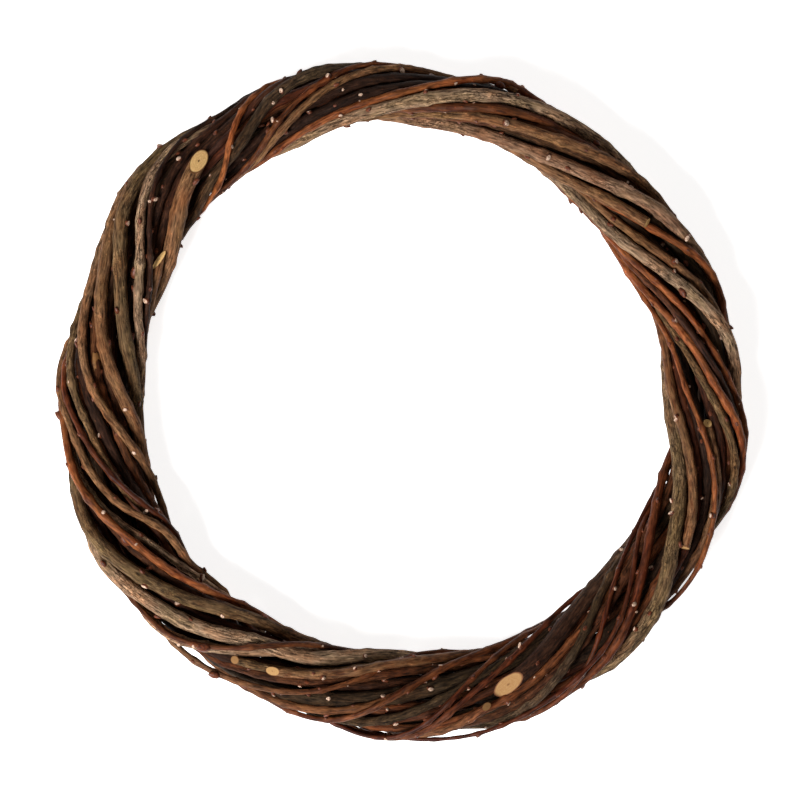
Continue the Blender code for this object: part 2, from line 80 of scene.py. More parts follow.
# %% [markdown]
# ## The colour of each rod
#
# Young willow shoots are orange, rust or wine red and shine a little. Towards the butt the bark turns
# olive, then ash grey, and cracks into fissures. A tone is its screen colour and its age, from 0 for young,
# shiny bark to 1 for old, cracked bark. Each rod below lists its tones by clock angle, counted
# clockwise from the top of the ring, in the places where the rod shows on the face. Between two places the
# rod is under the ring, and its tone changes there unseen.

# %% Tones and where each rod has them
TONES = {
    "ash": ((150, 123, 98), 1.0),
    "rose": ((146, 113, 89), 0.9),
    "olive": ((101, 79, 54), 0.8),
    "tan": ((117, 83, 55), 0.5),
    "umber": ((52, 31, 20), 0.7),
    "moss": ((54, 40, 26), 0.7),
    "orange": ((120, 68, 36), 0.15),
    "rust": ((88, 49, 26), 0.15),
    "wine": ((66, 31, 16), 0.0),
    "plum": ((48, 28, 20), 0.1),
    # painted shade: a dark tone for the deep rods in the core of the rope, standing in for the shade that
    # falls in the gaps between rods
    "painted_shade": ((41, 25, 17), 0.6),
}
ROD_TONES = {
    "rod_01": [(-140, "umber"), (-91, "tan"), (14, "ash"), (114, "olive"), (218, "ash"), (312, "tan")],
    "rod_02": [(-195, "rust"), (-79, "tan"), (45, "rose"), (145, "umber")],
    "rod_03": [(-30, "rust"), (20, "orange"), (81, "plum"), (172, "moss"), (291, "olive")],
    "rod_04": [(30, "orange"), (128, "wine"), (155, "rust"), (230, "olive")],
    "rod_05": [(-193, "wine"), (-109, "tan"), (-29, "moss"), (68, "ash")],
    "rod_06": [(-166, "rust"), (-59, "ash"), (45, "tan")],
    "rod_07": [(-17, "tan"), (62, "tan"), (144, "moss"), (212, "ash"), (298, "tan")],
    "rod_08": [(-105, "wine"), (2, "orange"), (105, "tan")],
    "rod_09": [(-35, "orange"), (87, "olive"), (200, "olive")],
    "rod_10": [(-38, "plum"), (84, "orange"), (150, "rust"), (195, "tan")],
    "rod_11": [(-103, "olive"), (28, "tan"), (90, "umber")],
    "rod_12": [(139, "wine"), (170, "rust"), (242, "orange"), (320, "rust")],
    "rod_13": [(94, "tan"), (150, "umber"), (213, "rust"), (306, "umber")],
    "rod_14": [(164, "rust"), (244, "ash"), (320, "umber")],
    "rod_15": [(5, "rust"), (77, "orange"), (140, "wine"), (182, "rust"), (240, "wine")],
    "rod_16": [(-21, "rust"), (99, "orange"), (150, "rust"), (170, "wine")],
    "rod_17": [(65, "rust"), (133, "wine"), (230, "wine")],
    "rod_18": [(200, "umber"), (310, "umber"), (390, "wine")],
    # the deep rods, from the nineteenth on, carry the painted shade tone over much of their length
    "rod_19": [(0, "painted_shade"), (390, "moss")],
    "rod_20": [(88, "rust"), (470, "painted_shade")],
    "rod_21": [(181, "painted_shade"), (560, "moss")],
    "rod_22": [(268, "rust"), (655, "painted_shade")],
    "rod_23": [(30, "wine"), (380, "painted_shade")],
    "rod_24": [(150, "rust"), (495, "moss")],
    "rod_25": [(262, "wine"), (610, "painted_shade")],
    "rod_26": [(330, "rust"), (640, "painted_shade")],
    "rod_27": [(75, "wine"), (400, "moss")],
    "rod_28": [(112, "rust"), (300, "painted_shade")],
    "rod_29": [(128, "wine"), (330, "rust")],
    "rod_30": [(20, "rust"), (380, "painted_shade")],
}


def linear(channel):
    """A screen colour value from 0 to 255 as the linear value that shaders use."""
    c = channel / 255.0
    return c / 12.92 if c <= 0.04045 else ((c + 0.055) / 1.055) ** 2.4


def linear_colour(screen):
    """A screen colour as a linear colour with a full alpha."""
    return tuple(linear(c) for c in screen) + (1.0,)


def tone_at(name, angles):
    """Linear colour and age of a rod's bark at clock angles, blended between its listed places."""
    keys = ROD_TONES[name]
    places = [key[0] for key in keys]
    colours = np.array([linear_colour(TONES[key[1]][0])[:3] for key in keys])
    ages = [TONES[key[1]][1] for key in keys]
    blended = np.stack([np.interp(angles, places, colours[:, c]) for c in range(3)], axis=1)
    return blended, np.interp(angles, places, ages)


print("tones:", len(TONES))

# %% [markdown]
# ## Reading a rod's route from its solid
#
# A rod's solid is a tube with five or six flat sides. It runs round the ring, so a half plane through the
# ring's middle at one clock angle cuts it once in every turn. The middle of each cut is a point of the
# rod's route, and the area of the cut gives the rod's thickness. Cuts are made every few degrees, but none
# close to an end. Each end is closed by a shallow pyramid, whose tip is found as a corner that is nearly
# flat.

# %% Cut the solids at clock angles
RING_MIDDLE = np.array([-0.77, 2.56, 0.0]) * MM
WELD = 2e-6
SIDE_COUNTS = (5, 6)
NEARLY_FLAT = 0.88
CUT_EVERY = 8.0
END_ROOM = 3.0
TIP_RISE = 0.3 * MM
SMOOTHINGS = 2


def unit(vector):
    """A vector made one long."""
    return vector / np.linalg.norm(vector)


def square_to(way, vector):
    """A vector without its part along a way."""
    return vector - way * (vector @ way)


def welded(obj):
    """Corner places and triangles of a solid, with doubled corners merged."""
    mesh = obj.data
    co = np.zeros(len(mesh.vertices) * 3)
    mesh.vertices.foreach_get("co", co)
    co = co.reshape(-1, 3)
    mesh.calc_loop_triangles()
    tri = np.zeros(len(mesh.loop_triangles) * 3, dtype=int)
    mesh.loop_triangles.foreach_get("vertices", tri)
    keys = np.round(co / WELD).astype(np.int64)
    first, back = np.unique(keys, axis=0, return_index=True, return_inverse=True)[1:]
    tri = back.reshape(-1)[tri].reshape(-1, 3)
    return co[first], tri


def end_caps(co, tri):
    """The tip that closes each end, the number of sides round it, and the way its cut faces."""
    normal = np.cross(co[tri[:, 1]] - co[tri[:, 0]], co[tri[:, 2]] - co[tri[:, 0]])
    normal /= np.linalg.norm(normal, axis=1)[:, None]
    total = np.zeros_like(co)
    for corner in range(3):
        np.add.at(total, tri[:, corner], normal)
    count = np.bincount(tri.reshape(-1), minlength=len(co))
    flatness = np.linalg.norm(total, axis=1) / count
    found = [v for v in range(len(co)) if flatness[v] > NEARLY_FLAT and count[v] in SIDE_COUNTS]
    found = sorted(found, key=lambda v: -flatness[v])[:2]
    return [(v, count[v], unit(total[v])) for v in found]


def edges_of(tri):
    """Every edge of the triangles once."""
    pairs = np.sort(np.concatenate([tri[:, [0, 1]], tri[:, [1, 2]], tri[:, [2, 0]]]), axis=1)
    return np.unique(pairs, axis=0)


def neighbours(co, edges):
    """For every corner, the corners that an edge joins to it."""
    around = [[] for corner in co]
    for a, b in edges:
        around[a].append(b)
        around[b].append(a)
    return around


def counted_on(co, around, start):
    """Clock angle of every corner, counted on from the start past a full turn."""
    from_middle = co - RING_MIDDLE
    raw = np.degrees(np.arctan2(from_middle[:, 0], from_middle[:, 1]))
    angles = np.full(len(co), np.nan)
    angles[start] = raw[start]
    waiting = [start]
    while waiting:
        v = waiting.pop()
        for w in around[v]:
            if np.isnan(angles[w]):
                angles[w] = angles[v] + (raw[w] - raw[v] + 180) % 360 - 180
                waiting.append(w)
    return angles


def cut_at(clock, co, edges, angles):
    """Middle and area of the outline where the half plane at a clock angle cuts a rod."""
    turn = math.radians(clock)
    outward = np.array([math.sin(turn), math.cos(turn), 0.0])
    onward = np.array([math.cos(turn), -math.sin(turn), 0.0])
    before = angles[edges] < clock
    crossed = edges[before[:, 0] != before[:, 1]]
    a, b = co[crossed[:, 0]], co[crossed[:, 1]]
    depth_a, depth_b = (a - RING_MIDDLE) @ onward, (b - RING_MIDDLE) @ onward
    points = a + (depth_a / (depth_a - depth_b))[:, None] * (b - a)
    u, v = (points - RING_MIDDLE) @ outward, points[:, 2]
    order = np.argsort(np.arctan2(v - v.mean(), u - u.mean()))
    u, v = u[order], v[order]
    step = u * np.roll(v, -1) - np.roll(u, -1) * v
    area = step.sum() / 2
    mid_u = ((u + np.roll(u, -1)) * step).sum() / (6 * area)
    mid_v = ((v + np.roll(v, -1)) * step).sum() / (6 * area)
    return RING_MIDDLE + outward * mid_u + np.array([0, 0, mid_v]), area, onward


def read_rod(name):
    """Route, thickness and cut ends of a rod, read from its solid."""
    co, tri = welded(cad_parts[name])
    edges = edges_of(tri)
    caps = end_caps(co, tri)
    around = neighbours(co, edges)
    angles = counted_on(co, around, caps[0][0])
    caps = sorted(caps, key=lambda cap: angles[cap[0]])
    shift = 360 * round((ROD_TONES[name][0][0] - angles[caps[0][0]]) / 360)
    first, last = angles[caps[0][0]], angles[caps[1][0]]
    begin = math.ceil((first + END_ROOM) / CUT_EVERY) * CUT_EVERY
    clocks = np.arange(begin, last - END_ROOM, CUT_EVERY)
    cuts = [cut_at(clock, co, edges, angles) for clock in clocks]
    ends = [co[v] - normal * TIP_RISE for v, sides, normal in caps]
    middles = np.array([ends[0]] + [cut[0] for cut in cuts] + [ends[1]])
    ways = np.gradient(middles, axis=0)
    ways /= np.linalg.norm(ways, axis=1)[:, None]
    sides = caps[0][1]
    whole = sides / 2 * math.sin(2 * math.pi / sides)
    radii = [math.sqrt(cut[1] * (way @ cut[2]) / whole) for cut, way in zip(cuts, ways[1:-1])]
    radii = np.array([radii[0]] + radii + [radii[-1]])
    for again in range(SMOOTHINGS):
        radii[1:-1] = (radii[:-2] + 2 * radii[1:-1] + radii[2:]) / 4
    return {
        "middles": middles,
        "radii": radii,
        "clocks": np.concatenate([[first], clocks, [last]]) + shift,
        "faces": [caps[0][2], caps[1][2]],
        "corners": co,
        "around": around,
    }


rods = {name: read_rod(name) for name in ROD_NAMES}
print("points of route read:", sum(len(rod["middles"]) for rod in rods.values()))

# %% [markdown]
# ## A smooth fine route
#
# A cubic spline through the points that were read bends evenly, as a springy twig does. It is sampled every
# millimetre or two. A bud on the solid is a single corner raised between two rings of the tube, so it is a
# corner with four neighbours, none of which is level with it along the rod, and all of which are near.

# %% Spline, samples and bud sites
FINE_STEP = 1.6 * MM
BUD_REACH = 0.7 * MM
LONGEST_BUD = 6.0 * MM


def spline(knots, values, where):
    """Natural cubic spline through values at knots, read at other places."""
    n = len(knots)
    gap = np.diff(knots)
    matrix = np.eye(n)
    right = np.zeros((n, values.shape[1]))
    for k in range(1, n - 1):
        matrix[k, k - 1 : k + 2] = gap[k - 1], 2 * (gap[k - 1] + gap[k]), gap[k]
        right[k] = 6 * ((values[k + 1] - values[k]) / gap[k] - (values[k] - values[k - 1]) / gap[k - 1])
    bend = np.linalg.solve(matrix, right)
    k = np.clip(np.searchsorted(knots, where, side="right") - 1, 0, n - 2)
    h = gap[k][:, None]
    a = (knots[k + 1][:, None] - where[:, None]) / h
    b = 1 - a
    cubic = ((a**3 - a) * bend[k] + (b**3 - b) * bend[k + 1]) * h**2 / 6
    return a * values[k] + b * values[k + 1] + cubic


def finer(rod):
    """Adds the fine route, and the bud sites that stand on it, to a rod."""
    knots = np.concatenate([[0], np.cumsum(np.linalg.norm(np.diff(rod["middles"], axis=0), axis=1))])
    where = np.linspace(0, knots[-1], int(knots[-1] / FINE_STEP) + 1)
    rod["path"] = spline(knots, rod["middles"], where)
    rod["along"] = where
    rod["radius"] = np.interp(where, knots, rod["radii"])
    rod["clock"] = np.interp(where, knots, rod["clocks"])
    way = np.gradient(rod["path"], axis=0)
    rod["way"] = way / np.linalg.norm(way, axis=1)[:, None]
    sites = []
    for v, others in enumerate(rod["around"]):
        corner = rod["corners"][v]
        near = np.argmin(np.linalg.norm(rod["path"] - corner, axis=1))
        way = rod["way"][near]
        ahead = np.abs((rod["corners"][others] - corner) @ way)
        if len(others) == 4 and ahead.min() > BUD_REACH and 2 * ahead.mean() < LONGEST_BUD:
            out = unit(square_to(way, corner - rod["path"][near]))
            sites.append({"near": near, "out": out, "length": 2 * ahead.mean()})
    rod["sites"] = sites


for rod in rods.values():
    finer(rod)
total_length = sum(rod["along"][-1] for rod in rods.values())
print("metres of rod:", round(total_length, 2), "bud sites:", sum(len(rod["sites"]) for rod in rods.values()))

# %% [markdown]
# ## Small helpers for node trees
#
# Geometry and shader trees are built from the same few moves: make a node, give it settings, and join its
# inputs to other nodes or set them to plain values. The first two helpers do this, and the others make the
# nodes that are needed most.

# %% Helpers for nodes


def join(tree, made, inputs):
    """Joins a node's inputs to other nodes, or sets them to plain values."""
    for key, value in inputs.items():
        if isinstance(value, bpy.types.NodeSocket):
            tree.links.new(value, made.inputs[key])
        else:
            made.inputs[key].default_value = value


def node(tree, kind, inputs=None, **settings):
    """Makes a node with settings and inputs."""
    made = tree.nodes.new(kind)
    for key, value in settings.items():
        setattr(made, key, value)
    join(tree, made, inputs or {})
    return made


def math_node(tree, operation, a, b=0.0):
    """A Math node's result."""
    return node(tree, "ShaderNodeMath", {0: a, 1: b}, operation=operation).outputs[0]


def product(tree, a, b):
    """Two numbers multiplied."""
    return math_node(tree, "MULTIPLY", a, b)


def plus(tree, a, b):
    """Two numbers added."""
    return math_node(tree, "ADD", a, b)


def vector_node(tree, operation, a, b=(0, 0, 0)):
    """A Vector Math node's vector result."""
    return node(tree, "ShaderNodeVectorMath", {0: a, 1: b}, operation=operation).outputs[0]


def times(tree, vector, factor):
    """A vector made longer by a number that may vary."""
    inputs = {0: vector, "Scale": factor}
    return node(tree, "ShaderNodeVectorMath", inputs, operation="SCALE").outputs[0]


def ramp(tree, value, span, target=(0.0, 1.0), kind="LINEAR"):
    """A value carried from one span to another, and kept inside it."""
    inputs = {"Value": value, "From Min": span[0], "From Max": span[1]}
    inputs.update({"To Min": target[0], "To Max": target[1]})
    return node(tree, "ShaderNodeMapRange", inputs, interpolation_type=kind).outputs[0]


def noise(tree, place, rate, detail, distortion=0.0):
    """Noise at a place, with its own rate of change along each axis."""
    inputs = {"Vector": vector_node(tree, "MULTIPLY", place, rate), "Scale": 1.0}
    inputs.update({"Detail": detail, "Distortion": distortion})
    return node(tree, "ShaderNodeTexNoise", inputs).outputs


def stored(tree, name, data_type="FLOAT"):
    """A named attribute of the geometry."""
    return node(tree, "GeometryNodeInputNamedAttribute", {"Name": name}, data_type=data_type).outputs[0]


def new_tree(name, kind, sockets):
    """A node group with named inputs and outputs, and its two end nodes."""
    tree = bpy.data.node_groups.new(name, kind)
    for label, way, socket in sockets:
        tree.interface.new_socket(name=label, in_out=way, socket_type=socket)
    return tree, tree.nodes.new("NodeGroupInput"), tree.nodes.new("NodeGroupOutput")


print("helpers ready")

# %% [markdown]
# ## The grain of the bark
#
# Bark grows along the twig, so every mark on it is drawn out lengthwise: fine streaks, long wavy cracks
# where an old stem has split its skin, and pale pores and scuffs. A crack is the line along which a
# stretched noise crosses its middle value, so it wanders, forks and closes as real ones do. Noise and cells
# are read at a place that runs round and along the rod, so they follow it through every bend without a
# seam. How often a mark comes is given as a rate per metre, twice across the rod and once along it. The
# group puts out masks, and each bark decides how strongly to use them. One of them drifts slowly, for
# patches of redder and of greener bark.

# %% Node group: bark grain
STREAK_RATE = (1100, 1100, 190)
CRACK_RATE = (640, 640, 130)
FINE_CRACK_RATE = (1300, 1300, 420)
FLECK_RATE = (1000, 1000, 420)
MOTTLE_RATE = (130, 130, 45)
BLOTCH_RATE = (430, 430, 120)
PORE_RATE = (520, 520, 420)
CRACK_WIDTH = 0.035
FINE_CRACK_WIDTH = 0.028
CRACKED_SPAN = (0.3, 0.55)
FLECK_CHOICE = (0.55, 0.62)
FLECK_EDGE = (0.42, 0.2)
PORE_CHOICE = (0.7, 0.75)
PORE_EDGE = (0.24, 0.14)
GRAIN_MASKS = ("Streak", "Crack", "Fleck", "Pore", "Mottle", "Blotch", "Hue")


def bark_grain_group():
    """Masks of streaks, cracks, flecks, pores and mottling, from a place on the rod."""
    sockets = [("Place", "INPUT", "NodeSocketVector"), ("Age", "INPUT", "NodeSocketFloat")]
    sockets += [(label, "OUTPUT", "NodeSocketFloat") for label in GRAIN_MASKS]
    tree, begin, end = new_tree("bark grain", "ShaderNodeTree", sockets)
    place, age = begin.outputs["Place"], begin.outputs["Age"]

    def wavy_lines(rate, width):
        """The lines along which a noise crosses its middle value."""
        level = plus(tree, noise(tree, place, rate, 2.0, 0.9)["Fac"], -0.5)
        return ramp(tree, math_node(tree, "ABSOLUTE", level), (width, width * 0.25), kind="SMOOTHSTEP")

    def spots(rate, wobble, channel, choice, edge):
        """A soft spot in the middle of a cell, in the cells that their random colour chooses."""
        bent = times(tree, noise(tree, place, rate, 2.0)["Color"], wobble)
        where = vector_node(tree, "ADD", vector_node(tree, "MULTIPLY", place, rate), bent)
        cells = node(tree, "ShaderNodeTexVoronoi", {"Vector": where, "Scale": 1.0}).outputs
        pick = node(tree, "ShaderNodeSeparateColor", {0: cells["Color"]}).outputs[channel]
        chosen = ramp(tree, pick, choice, kind="SMOOTHSTEP")
        return product(tree, ramp(tree, cells["Distance"], edge, kind="SMOOTHSTEP"), chosen)

    drift = noise(tree, place, MOTTLE_RATE, 3.0)
    split = wavy_lines(CRACK_RATE, CRACK_WIDTH), wavy_lines(FINE_CRACK_RATE, FINE_CRACK_WIDTH)
    cracked = product(tree, age, ramp(tree, drift["Fac"], CRACKED_SPAN, kind="SMOOTHSTEP"))
    masks = {
        "Streak": noise(tree, place, STREAK_RATE, 4.0)["Fac"],
        "Crack": product(tree, math_node(tree, "MAXIMUM", *split), cracked),
        "Fleck": spots(FLECK_RATE, 0.9, 0, FLECK_CHOICE, FLECK_EDGE),
        "Pore": spots(PORE_RATE, 0.4, 1, PORE_CHOICE, PORE_EDGE),
        "Mottle": drift["Fac"],
        "Blotch": noise(tree, place, BLOTCH_RATE, 3.0, 0.6)["Fac"],
        "Hue": node(tree, "ShaderNodeSeparateColor", {0: drift["Color"]}).outputs[1],
    }
    join(tree, end, masks)
    return tree


BARK_GRAIN = bark_grain_group()
print("grain masks:", len(GRAIN_MASKS))

# %% [markdown]
# ## Three barks
#
# Grey bark is dry and rough and scatters the light. Brown bark is duller and less cracked. Orange bark is
# a thin, tight skin with a satin gloss. All three take their hue from the rod's own tone attribute and mix
# the grain into it in different amounts, so one builder makes all of them.

# %% Bark materials
CRACK_DARK = linear_colour((24, 14, 9))
FLECK_TINT = (1.90, 1.85, 1.80, 1.0)
PORE_TINT = (2.30, 2.00, 1.80, 1.0)
RED_TINT = (1.07, 0.90, 0.78, 1.0)
GREEN_TINT = (0.96, 0.97, 0.87, 1.0)
WINE_TINT = (0.46, 0.32, 0.26, 1.0)
BARK_LOOKS = ("rough", "satin", "streaks", "patch", "blotches", "flecks", "pores", "shine")
BARKS = {
    "grey_bark": (0.80, 0.60, 0.85, 0.30, 0.40, 0.55, 0.60, 0.08),
    "brown_bark": (0.74, 0.55, 0.75, 0.36, 0.60, 0.45, 0.60, 0.08),
    "orange_bark": (0.64, 0.48, 0.65, 0.48, 0.90, 0.30, 0.70, 0.10),
}
NOISE_SPAN = (0.3, 0.7)
RED_SPAN = (0.5, 0.66)
GREEN_SPAN = (0.5, 0.36)
BLOTCH_SPAN = (0.46, 0.64)
RIDGE_SPAN = (0.2, 0.8)
YOUNG_GRAIN = 0.25
CRACK_COVER = 0.85
GLOSS_SWING = 0.06
RIDGE_RISE = 0.8
FLECK_RISE = 0.35
PORE_RISE = 0.3
RELIEF = 0.5 * MM


def mixed(tree, factor, a, b, blend="MIX"):
    """Two colours mixed by a factor that may vary."""
    settings = {"data_type": "RGBA", "blend_type": blend, "clamp_factor": True}
    return node(tree, "ShaderNodeMix", {0: factor, 6: a, 7: b}, **settings).outputs[2]


def attribute(tree, name):
    """An attribute of the surface, for a shader."""
    return node(tree, "ShaderNodeAttribute", attribute_name=name, attribute_type="GEOMETRY").outputs


def new_material(name):
    """A material with nothing but a shader in its tree, and the shader."""
    material = bpy.data.materials.new(name)
    material.use_nodes = True
    tree = material.node_tree
    tree.nodes.clear()
    shader = node(tree, "ShaderNodeBsdfPrincipled")
    node(tree, "ShaderNodeOutputMaterial", {0: shader.outputs[0]})
    return material, shader


def bumped(tree, height, strength, distance):
    """A surface that a varying height seems to raise."""
    inputs = {"Height": height, "Strength": strength, "Distance": distance}
    return node(tree, "ShaderNodeBump", inputs).outputs[0]


def bark(name, look):
    """Bark whose hue follows the rod's tone and whose cracks follow its age."""
    material, shader = new_material(name)
    tree = material.node_tree
    age = attribute(tree, "age")["Fac"]
    grain = {"Place": attribute(tree, "bark_place")["Vector"], "Age": age}
    masks = node(tree, "ShaderNodeGroup", grain, node_tree=BARK_GRAIN).outputs
    lightness = ramp(tree, masks["Streak"], NOISE_SPAN, (1.0 - look["streaks"], 1.0 + look["streaks"]))
    patch = ramp(tree, masks["Mottle"], NOISE_SPAN, (1.0 - look["patch"], 1.0 + look["patch"]))
    aged = ramp(tree, age, (0.0, 1.0), (YOUNG_GRAIN, 1.0))
    old_fleck = product(tree, masks["Fleck"], aged)
    skin = attribute(tree, "tone")["Color"]
    skin = mixed(tree, ramp(tree, masks["Hue"], RED_SPAN), skin, RED_TINT, "MULTIPLY")
    skin = mixed(tree, ramp(tree, masks["Hue"], GREEN_SPAN), skin, GREEN_TINT, "MULTIPLY")
    blotches = ramp(tree, masks["Blotch"], BLOTCH_SPAN, (0.0, look["blotches"]))
    skin = mixed(tree, blotches, skin, WINE_TINT, "MULTIPLY")
    skin = times(tree, skin, product(tree, lightness, patch))
    skin = mixed(tree, product(tree, old_fleck, look["flecks"]), skin, FLECK_TINT, "MULTIPLY")
    skin = mixed(tree, product(tree, masks["Pore"], look["pores"]), skin, PORE_TINT, "MULTIPLY")
    skin = mixed(tree, product(tree, masks["Crack"], CRACK_COVER), skin, CRACK_DARK)
    gloss = ramp(tree, age, (0.0, 1.0), (look["satin"], look["rough"]))
    gloss = plus(tree, gloss, ramp(tree, masks["Streak"], NOISE_SPAN, (GLOSS_SWING, -GLOSS_SWING)))
    ridges = product(tree, ramp(tree, masks["Streak"], RIDGE_SPAN, (0.0, RIDGE_RISE)), aged)
    height = math_node(tree, "SUBTRACT", ridges, masks["Crack"])
    height = plus(tree, height, product(tree, old_fleck, FLECK_RISE))
    height = plus(tree, height, product(tree, masks["Pore"], PORE_RISE))
    join(tree, shader, {"Base Color": skin, "Roughness": gloss, "Specular IOR Level": look["shine"]})
    join(tree, shader, {"Normal": bumped(tree, height, 1.0, RELIEF)})
    return material


bark_materials = {slot: bark(slot.replace("_", " "), dict(zip(BARK_LOOKS, BARKS[slot]))) for slot in BARKS}
print("barks:", sorted(bark_materials))

# %% [markdown]
# ## Fresh wood and bud scales
#
# Where a rod was cut with shears the wood is cream, with a dark pith in the middle, faint year rings and a
# thin brown line of bark at the rim. The rings follow the distance from the pith, which each cut face
# carries as an attribute. The stubs of clipped side shoots are the same wood, dried paler. Buds have dark
# red scales, and where a side shoot was torn away a dull tan scar is left.

# %% Wood and bud materials
WOOD_CREAM = linear_colour((232, 192, 128))
WOOD_RING = linear_colour((200, 148, 88))
PITH_DARK = linear_colour((104, 62, 36))
RIM_BROWN = linear_colour((92, 54, 30))
OLD_CUT = linear_colour((110, 76, 44))
STUB_PALE = linear_colour((198, 170, 148))
STUB_STAIN = linear_colour((120, 84, 62))
BUD_RED = linear_colour((96, 50, 30))
BUD_TIP = linear_colour((52, 26, 18))
SCAR_TAN = linear_colour((132, 92, 52))
SCAR_DARK = linear_colour((88, 58, 36))
YEAR_RING_RATE = 24.0
YEAR_RING_COVER = 0.3
STAIN_SPAN = (0.45, 0.75)
STAIN_COVER = 0.5
PITH_EDGE = (0.13, 0.07)
RIM_EDGE = (0.86, 0.95)
MOTTLED_SPAN = (0.42, 0.66)


def cut_wood(name):
    """Cream end grain with year rings, a pith and a brown rim."""
    material, shader = new_material(name)
    tree = material.node_tree
    place = attribute(tree, "cut_place")["Vector"]
    far = node(tree, "ShaderNodeVectorMath", {0: place}, operation="LENGTH").outputs["Value"]
    uneven = node(tree, "ShaderNodeTexNoise", {"Vector": place, "Scale": 2.6, "Detail": 3.0}).outputs["Fac"]
    rings = math_node(tree, "SINE", product(tree, plus(tree, far, uneven), YEAR_RING_RATE))
    ring_mask = product(tree, plus(tree, rings, 1.0), YEAR_RING_COVER)
    face = mixed(tree, ring_mask, WOOD_CREAM, WOOD_RING)
    face = mixed(tree, product(tree, ramp(tree, uneven, STAIN_SPAN), STAIN_COVER), face, WOOD_RING)
    face = mixed(tree, ramp(tree, far, PITH_EDGE), face, PITH_DARK)
    face = mixed(tree, attribute(tree, "old_cut")["Fac"], face, OLD_CUT)
    face = mixed(tree, ramp(tree, far, RIM_EDGE), face, RIM_BROWN)
    join(tree, shader, {"Base Color": face, "Roughness": 0.7, "Specular IOR Level": 0.15})
    join(tree, shader, {"Normal": bumped(tree, rings, 0.3, 0.1 * MM)})
    return material


def blotched(name, main, other, scale, roughness, shine):
    """Two colours in small soft blotches, fixed to the object."""
    material, shader = new_material(name)
    tree = material.node_tree
    place = node(tree, "ShaderNodeTexCoord").outputs["Object"]
    spots = node(tree, "ShaderNodeTexNoise", {"Vector": place, "Scale": scale, "Detail": 4.0}).outputs["Fac"]
    colour = mixed(tree, ramp(tree, spots, MOTTLED_SPAN), main, other)
    join(tree, shader, {"Base Color": colour, "Roughness": roughness, "Specular IOR Level": shine})
    join(tree, shader, {"Normal": bumped(tree, spots, 0.6, 0.3 * MM)})
    return material


WOOD = cut_wood("cut wood")
STUB_TOP = blotched("dried stub wood", STUB_PALE, STUB_STAIN, 1500.0, 0.75, 0.3)
BUD_SCALE = blotched("bud scale", BUD_RED, BUD_TIP, 900.0, 0.4, 0.18)
SCAR = blotched("torn shoot scar", SCAR_TAN, SCAR_DARK, 450.0, 0.6, 0.2)
print("wood and buds ready")

# %% [markdown]
# ## The shapes of a bud and a stub
#
# A willow bud is a small pointed scale that leans along the twig. A stub is what the shears leave of a side
# shoot: a short collar with a pale, slanting top. Each is made once, in a few rings of eight corners, and
# repeated on every rod. A ring is its height, its width and how far it leans along the twig.

# %% Bud and stub meshes
BUD_RINGS = [(0.0, 1.0, -0.35), (0.35, 1.08, -0.1), (0.75, 0.86, 0.2), (1.05, 0.45, 0.55), (1.15, 0.08, 0.8)]
STUB_RINGS = [(-0.25, 1.25, 0.0), (0.25, 1.0, 0.0), (0.75, 0.86, 0.03), (0.82, 0.74, 0.03), (0.95, 0.4, 0.0)]
STUB_WOOD_RING = 2
STUB_SLANT = 0.55
SHAPE_SIDES = 8


def turned_shape(name, rings, wood_from, slant):
    """A closed shape from rings. Its faces are marked as wood from one ring on, up to the slanting top."""
    sides = SHAPE_SIDES
    verts = []
    for height, width, lean in rings:
        for k in range(sides):
            turn = 2 * math.pi * k / sides
            rise = slant * max(height, 0.0) * width * math.cos(turn)
            verts.append((lean + width * math.cos(turn), width * math.sin(turn), height + rise))
    faces = []
    marks = []
    for ring in range(len(rings) - 1):
        for k in range(sides):
            after = (k + 1) % sides
            low, high = ring * sides, (ring + 1) * sides
            faces.append((low + k, low + after, high + after, high + k))
            marks.append(float(ring >= wood_from))
    faces.append(tuple(range((len(rings) - 1) * sides, len(rings) * sides)))
    faces.append(tuple(reversed(range(sides))))
    marks += [float(wood_from < len(rings)), 0.0]
    mesh = bpy.data.meshes.new(name)
    mesh.from_pydata(verts, [], faces)
    mesh.attributes.new("stub_wood", "FLOAT", "FACE").data.foreach_set("value", marks)
    mesh.materials.append(BUD_SCALE)
    print(name, "faces:", len(mesh.polygons))
    return linked(name, mesh)


bud_shape = turned_shape("bud shape", BUD_RINGS, len(BUD_RINGS), 0.0)
stub_shape = turned_shape("stub shape", STUB_RINGS, STUB_WOOD_RING, STUB_SLANT)

# %% [markdown]
# ## A rod along its route
#
# Here Geometry Nodes turn a route into a rod. The route becomes a curve, a circle is swept along it, and
# each route point says how thick the rod is there. Noise stretched along the rod raises its skin into low
# ridges, a slow drift makes it a little crooked, and at every knot, where a leaf once grew, it swells. At
# the ends the rings are pushed along the rod until they lie in the plane of the cut, and a few shrinking
# rings close the face. Buds, stubs and scars stand on marked points beside the route, are made real and get
# their materials. Last, nothing may reach below the floor.

# %% Geometry Nodes: a barked rod
RIDGE_RATE = (520, 520, 60)
SWELL_RATE = (70, 70, 26)
KNOTS_PER_METRE = 31.0
KNOT_SCATTER = 0.7
KNOT_EDGE = (0.13, 0.0)
BENDS_PER_METRE = 24.0
SKIN = {"Ridge Height": 0.16, "Swelling": 0.14, "Knot Height": 0.13, "Crookedness": 0.9 * MM}
GROWTH_KINDS = {"bud": 1.0, "stub": 2.0, "scar": 3.0}


def kept(tree, geometry, kind, fields):
    """Keeps fields of a geometry, so that they can still be read after it has changed."""
    made = node(tree, "GeometryNodeCaptureAttribute")
    for label in fields:
        made.capture_items.new(kind, label)
    join(tree, made, {"Geometry": geometry, **fields})
    return made.outputs


def moved(tree, geometry, offset):
    """A geometry with its points moved by an offset."""
    return node(tree, "GeometryNodeSetPosition", {"Geometry": geometry, "Offset": offset}).outputs[0]


